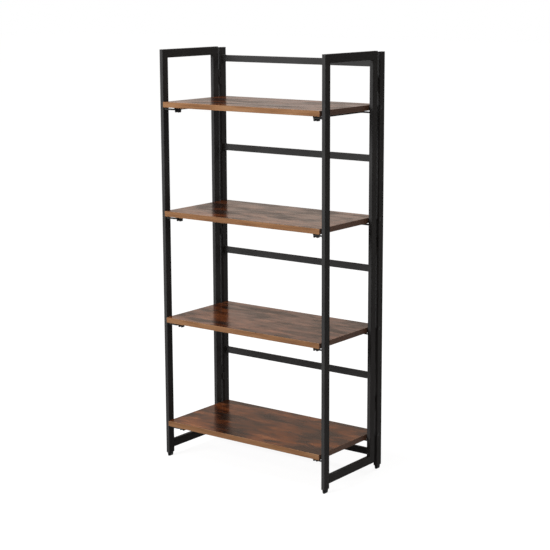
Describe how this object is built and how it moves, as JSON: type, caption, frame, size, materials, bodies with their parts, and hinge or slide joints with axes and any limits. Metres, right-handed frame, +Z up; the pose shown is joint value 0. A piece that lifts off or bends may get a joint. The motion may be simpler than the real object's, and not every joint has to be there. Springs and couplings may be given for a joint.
{
  "type": "folding shelving unit",
  "caption": "Folding shelving unit: black rectangular steel tube side frames hinged to a back frame, with rustic brown boards that turn up on rear pivots and snap onto side wires.",
  "frame": {"origin": "on the floor, at the middle of the unit's footprint", "axes": "+X across the front to the right as seen from the front, +Y from front to back, +Z up"},
  "size_m": [0.602, 0.306, 1.255],
  "materials": {
    "frame_paint": "satin black powder coat",
    "bolt_black": "black oxide",
    "zinc_steel": "zinc plated",
    "black_plastic": "moulded, fine grain",
    "board_face": "semi-gloss rustic brown melamine",
    "board_edge": "semi-gloss brown edge band"
  },
  "bodies": {
    "frame": {"side_left_front_post": "frame_paint", "side_left_rear_post": "frame_paint", "side_left_top_rail": "frame_paint", "side_left_bottom_rail": "frame_paint", "side_right_front_post": "frame_paint", "side_right_rear_post": "frame_paint", "side_right_top_rail": "frame_paint", "side_right_bottom_rail": "frame_paint", "back_post_left": "frame_paint", "back_post_right": "frame_paint", "back_crossbar_1": "frame_paint", "back_crossbar_2": "frame_paint", "back_crossbar_3": "frame_paint", "back_crossbar_4": "frame_paint", "back_crossbar_5": "frame_paint", "support_wire_left_1": "frame_paint", "support_wire_left_2": "frame_paint", "support_wire_left_3": "frame_paint", "support_wire_left_4": "frame_paint", "support_wire_right_1": "frame_paint", "support_wire_right_2": "frame_paint", "support_wire_right_3": "frame_paint", "support_wire_right_4": "frame_paint", "hinge_left_back_knuckles": "frame_paint", "hinge_left_side_knuckles": "frame_paint", "hinge_right_back_knuckles": "frame_paint", "hinge_right_side_knuckles": "frame_paint", "hinge_left_pins": "bolt_black", "hinge_right_pins": "bolt_black", "pivot_bolts_1": "bolt_black", "pivot_bolts_2": "bolt_black", "pivot_bolts_3": "bolt_black", "pivot_bolts_4": "bolt_black", "foot_front_left": "black_plastic", "foot_front_right": "black_plastic", "foot_rear_left": "black_plastic", "foot_rear_right": "black_plastic", "back_post_caps": "black_plastic"},
    "shelf_1": {"shelf_1_board": "board_face", "shelf_1_edge_band": "board_edge", "shelf_1_clips": "black_plastic", "shelf_1_clip_screws": "zinc_steel", "shelf_1_pivot_bushes": "black_plastic"},
    "shelf_2": {"shelf_2_board": "board_face", "shelf_2_edge_band": "board_edge", "shelf_2_clips": "black_plastic", "shelf_2_clip_screws": "zinc_steel", "shelf_2_pivot_bushes": "black_plastic"},
    "shelf_3": {"shelf_3_board": "board_face", "shelf_3_edge_band": "board_edge", "shelf_3_clips": "black_plastic", "shelf_3_clip_screws": "zinc_steel", "shelf_3_pivot_bushes": "black_plastic"},
    "shelf_4": {"shelf_4_board": "board_face", "shelf_4_edge_band": "board_edge", "shelf_4_clips": "black_plastic", "shelf_4_clip_screws": "zinc_steel", "shelf_4_pivot_bushes": "black_plastic"}
  },
  "joints": [
    {"name": "shelf_1_flip", "type": "hinge", "parent": "frame", "child": "shelf_1", "pos_m": [0, 0.134, 1.093], "axis": [-1, 0, 0], "range_deg": [0, 86]},
    {"name": "shelf_2_flip", "type": "hinge", "parent": "frame", "child": "shelf_2", "pos_m": [0, 0.134, 0.765], "axis": [-1, 0, 0], "range_deg": [0, 86]},
    {"name": "shelf_3_flip", "type": "hinge", "parent": "frame", "child": "shelf_3", "pos_m": [0, 0.134, 0.437], "axis": [-1, 0, 0], "range_deg": [0, 86]},
    {"name": "shelf_4_flip", "type": "hinge", "parent": "frame", "child": "shelf_4", "pos_m": [0, 0.134, 0.109], "axis": [-1, 0, 0], "range_deg": [0, 86]}
  ]
}
